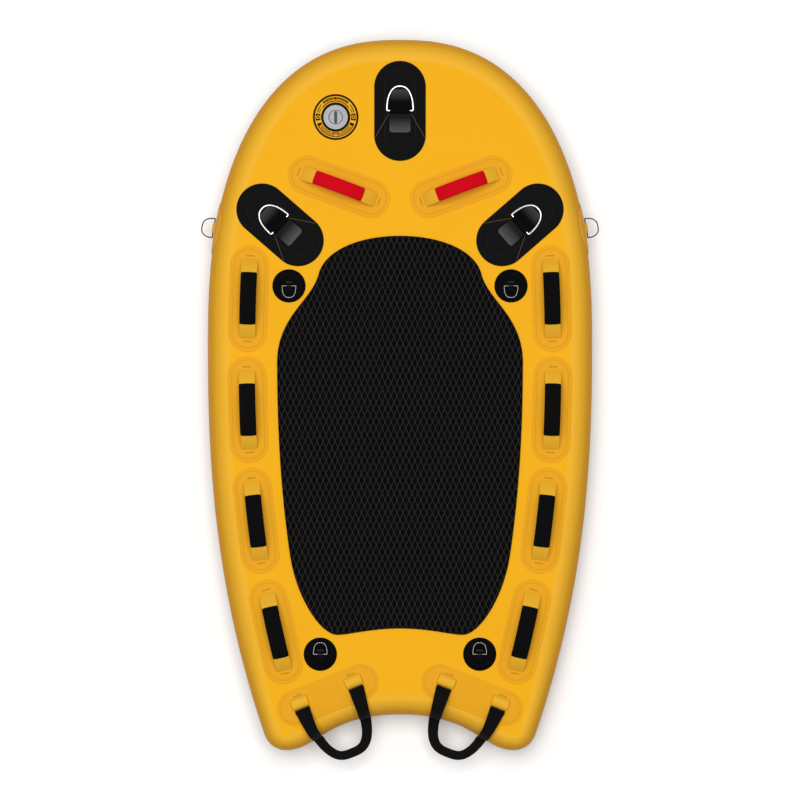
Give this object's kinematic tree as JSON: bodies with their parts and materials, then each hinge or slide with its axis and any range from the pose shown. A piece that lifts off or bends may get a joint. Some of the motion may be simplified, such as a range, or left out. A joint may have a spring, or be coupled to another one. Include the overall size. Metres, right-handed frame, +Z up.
{
  "type": "inflatable rescue board",
  "caption": "Flat inflatable rescue board with a domed nose and hollowed tail, grab handles, tow rings, a foam deck pad and an inflation valve.",
  "frame": {"origin": "on the hull's flat face, on the centreline, half-way along the length", "axes": "+Y towards the nose, +Z up out of the deck, +X to the right seen from above with the nose up"},
  "size_m": [1.0126, 1.821, 0.2153],
  "materials": {
    "deck_yellow": "semi-matt coated fabric",
    "hull_black": "semi-matt coated fabric",
    "rail_orange": "semi-matt coated fabric",
    "core_white": "matt coated drop-stitch fabric",
    "pad_foam": "matt grooved foam",
    "patch_yellow": "semi-matt coated fabric",
    "patch_black": "semi-matt coated fabric",
    "grip_red": "woven sleeve over padding",
    "grip_black": "woven sleeve over padding",
    "webbing_black": "woven webbing",
    "ring_steel": "polished stainless steel",
    "valve_black": "moulded nylon",
    "valve_grey": "moulded nylon",
    "valve_white": "moulded acetal",
    "gasket_rubber": "moulded rubber",
    "spring_steel": "drawn wire"
  },
  "bodies": {
    "board": {"deck_ring_front_left_patch": "patch_black", "deck_ring_front_right_patch": "patch_black", "deck_ring_rear_left_patch": "patch_black", "deck_ring_rear_right_patch": "patch_black", "deck_skin": "deck_yellow", "drop_stitch_core": "core_white", "hull_ring_left_patch": "patch_black", "hull_ring_right_patch": "patch_black", "hull_skin": "hull_black", "rail_band": "rail_orange", "rail_ring_left_patch": "patch_yellow", "rail_ring_right_patch": "patch_yellow", "red_handle_left_patch": "patch_yellow", "red_handle_right_patch": "patch_yellow", "side_handle_left_1_patch": "patch_yellow", "side_handle_left_2_patch": "patch_yellow", "side_handle_left_3_patch": "patch_yellow", "side_handle_left_4_patch": "patch_yellow", "side_handle_right_1_patch": "patch_yellow", "side_handle_right_2_patch": "patch_yellow", "side_handle_right_3_patch": "patch_yellow", "side_handle_right_4_patch": "patch_yellow", "tail_handle_left_patch": "patch_yellow", "tail_handle_right_patch": "patch_yellow", "tow_left_pad": "patch_black", "tow_left_webbing": "webbing_black", "tow_nose_pad": "patch_black", "tow_nose_webbing": "webbing_black", "tow_right_pad": "patch_black", "tow_right_webbing": "webbing_black", "traction_pad": "pad_foam", "valve_body": "valve_black", "valve_gasket": "gasket_rubber", "valve_nut": "valve_black", "valve_spring": "spring_steel"},
    "deck_ring_front_left_ring": {"deck_ring_front_left_ring": "ring_steel"},
    "deck_ring_front_right_ring": {"deck_ring_front_right_ring": "ring_steel"},
    "deck_ring_rear_left_ring": {"deck_ring_rear_left_ring": "ring_steel"},
    "deck_ring_rear_right_ring": {"deck_ring_rear_right_ring": "ring_steel"},
    "hull_ring_left_ring": {"hull_ring_left_ring": "ring_steel"},
    "hull_ring_right_ring": {"hull_ring_right_ring": "ring_steel"},
    "rail_ring_left_ring": {"rail_ring_left_ring": "ring_steel"},
    "rail_ring_right_ring": {"rail_ring_right_ring": "ring_steel"},
    "red_handle_left_grip": {"red_handle_left_grip": "grip_red"},
    "red_handle_right_grip": {"red_handle_right_grip": "grip_red"},
    "side_handle_left_1_grip": {"side_handle_left_1_grip": "grip_black"},
    "side_handle_left_2_grip": {"side_handle_left_2_grip": "grip_black"},
    "side_handle_left_3_grip": {"side_handle_left_3_grip": "grip_black"},
    "side_handle_left_4_grip": {"side_handle_left_4_grip": "grip_black"},
    "side_handle_right_1_grip": {"side_handle_right_1_grip": "grip_black"},
    "side_handle_right_2_grip": {"side_handle_right_2_grip": "grip_black"},
    "side_handle_right_3_grip": {"side_handle_right_3_grip": "grip_black"},
    "side_handle_right_4_grip": {"side_handle_right_4_grip": "grip_black"},
    "tail_handle_left_strap": {"tail_handle_left_strap": "webbing_black"},
    "tail_handle_right_strap": {"tail_handle_right_strap": "webbing_black"},
    "tow_left_ring": {"tow_left_ring": "ring_steel"},
    "tow_nose_ring": {"tow_nose_ring": "ring_steel"},
    "tow_right_ring": {"tow_right_ring": "ring_steel"},
    "valve_cap": {"valve_cap": "valve_grey"},
    "valve_stem": {"valve_stem": "valve_white"}
  },
  "joints": [
    {"name": "deck_ring_front_left_ring_swing", "type": "hinge", "parent": "board", "child": "deck_ring_front_left_ring", "pos_m": [-0.27999, 0.27702, 0.1558], "axis": [-1, 0, 0], "range_deg": [0, 180]},
    {"name": "deck_ring_front_right_ring_swing", "type": "hinge", "parent": "board", "child": "deck_ring_front_right_ring", "pos_m": [0.27999, 0.27702, 0.1558], "axis": [-1, 0, 0], "range_deg": [0, 180]},
    {"name": "deck_ring_rear_left_ring_swing", "type": "hinge", "parent": "board", "child": "deck_ring_rear_left_ring", "pos_m": [-0.20101, -0.65196, 0.1558], "axis": [1, 0, 0], "range_deg": [0, 180]},
    {"name": "deck_ring_rear_right_ring_swing", "type": "hinge", "parent": "board", "child": "deck_ring_rear_right_ring", "pos_m": [0.20101, -0.65196, 0.1558], "axis": [1, 0, 0], "range_deg": [0, 180]},
    {"name": "hull_ring_left_ring_swing", "type": "hinge", "parent": "board", "child": "hull_ring_left_ring", "pos_m": [-0.295, 0.43794, -0.0063], "axis": [-1, 0, 0], "range_deg": [0, 180]},
    {"name": "hull_ring_right_ring_swing", "type": "hinge", "parent": "board", "child": "hull_ring_right_ring", "pos_m": [0.295, 0.43794, -0.0063], "axis": [-1, 0, 0], "range_deg": [0, 180]},
    {"name": "rail_ring_left_ring_swing", "type": "hinge", "parent": "board", "child": "rail_ring_left_ring", "pos_m": [-0.47325, 0.42584, 0.07504], "axis": [-0.1711, -0.9853, 0], "range_deg": [-120, 40]},
    {"name": "rail_ring_right_ring_swing", "type": "hinge", "parent": "board", "child": "rail_ring_right_ring", "pos_m": [0.47325, 0.42584, 0.07504], "axis": [-0.1711, 0.9853, 0], "range_deg": [-120, 40]},
    {"name": "tow_left_ring_swing", "type": "hinge", "parent": "board", "child": "tow_left_ring", "pos_m": [-0.30256, 0.43092, 0.16668], "axis": [0.6561, 0.7547, 0], "range_deg": [0, 195]},
    {"name": "tow_nose_ring_swing", "type": "hinge", "parent": "board", "child": "tow_nose_ring", "pos_m": [0, 0.71694, 0.18019], "axis": [1, 0, 0], "range_deg": [0, 195]},
    {"name": "tow_right_ring_swing", "type": "hinge", "parent": "board", "child": "tow_right_ring", "pos_m": [0.30256, 0.43092, 0.16668], "axis": [0.6561, -0.7547, 0], "range_deg": [0, 195]},
    {"name": "red_handle_left_grip_lean", "type": "hinge", "parent": "board", "child": "red_handle_left_grip", "pos_m": [-0.15401, 0.5274, 0.15341], "axis": [0.9379, -0.3469, 0], "range_deg": [-30, 30], "stiffness_Nm_per_rad": 0.3},
    {"name": "red_handle_right_grip_lean", "type": "hinge", "parent": "board", "child": "red_handle_right_grip", "pos_m": [0.15401, 0.5274, 0.15341], "axis": [0.9379, 0.3469, 0], "range_deg": [-30, 30], "stiffness_Nm_per_rad": 0.3},
    {"name": "side_handle_left_1_grip_lean", "type": "hinge", "parent": "board", "child": "side_handle_left_1_grip", "pos_m": [-0.38178, 0.24498, 0.152], "axis": [0.0315, 0.9995, 0], "range_deg": [-30, 30], "stiffness_Nm_per_rad": 0.3},
    {"name": "side_handle_left_2_grip_lean", "type": "hinge", "parent": "board", "child": "side_handle_left_2_grip", "pos_m": [-0.38296, -0.03504, 0.152], "axis": [-0.0305, 0.9995, 0], "range_deg": [-30, 30], "stiffness_Nm_per_rad": 0.3},
    {"name": "side_handle_left_3_grip_lean", "type": "hinge", "parent": "board", "child": "side_handle_left_3_grip", "pos_m": [-0.36282, -0.31506, 0.152], "axis": [-0.1161, 0.9932, 0], "range_deg": [-30, 30], "stiffness_Nm_per_rad": 0.3},
    {"name": "side_handle_left_4_grip_lean", "type": "hinge", "parent": "board", "child": "side_handle_left_4_grip", "pos_m": [-0.31349, -0.59508, 0.152], "axis": [-0.2217, 0.9751, 0], "range_deg": [-30, 30], "stiffness_Nm_per_rad": 0.3},
    {"name": "side_handle_right_1_grip_lean", "type": "hinge", "parent": "board", "child": "side_handle_right_1_grip", "pos_m": [0.38178, 0.24498, 0.152], "axis": [-0.0315, 0.9995, 0], "range_deg": [-30, 30], "stiffness_Nm_per_rad": 0.3},
    {"name": "side_handle_right_2_grip_lean", "type": "hinge", "parent": "board", "child": "side_handle_right_2_grip", "pos_m": [0.38296, -0.03504, 0.152], "axis": [0.0305, 0.9995, 0], "range_deg": [-30, 30], "stiffness_Nm_per_rad": 0.3},
    {"name": "side_handle_right_3_grip_lean", "type": "hinge", "parent": "board", "child": "side_handle_right_3_grip", "pos_m": [0.36282, -0.31506, 0.152], "axis": [0.1161, 0.9932, 0], "range_deg": [-30, 30], "stiffness_Nm_per_rad": 0.3},
    {"name": "side_handle_right_4_grip_lean", "type": "hinge", "parent": "board", "child": "side_handle_right_4_grip", "pos_m": [0.31349, -0.59508, 0.152], "axis": [0.2217, 0.9751, 0], "range_deg": [-30, 30], "stiffness_Nm_per_rad": 0.3},
    {"name": "tail_handle_left_strap_lift", "type": "hinge", "parent": "board", "child": "tail_handle_left_strap", "pos_m": [-0.17711, -0.76728, 0.1583], "axis": [0.9291, 0.3697, 0], "range_deg": [-95, 0]},
    {"name": "tail_handle_right_strap_lift", "type": "hinge", "parent": "board", "child": "tail_handle_right_strap", "pos_m": [0.17711, -0.76728, 0.1583], "axis": [0.9291, -0.3697, 0], "range_deg": [-95, 0]},
    {"name": "valve_cap_twist", "type": "hinge", "parent": "board", "child": "valve_cap", "pos_m": [-0.16202, 0.702, 0.16211], "axis": [0, -0.0984, 0.9951], "range_deg": [0, 90]},
    {"name": "valve_stem_push", "type": "slide", "parent": "board", "child": "valve_stem", "axis": [0, 0.0984, -0.9951], "range_m": [0, 0.004], "stiffness_N_per_m": 300, "springref_m": -0.002, "deforming": ["valve_spring"]}
  ]
}
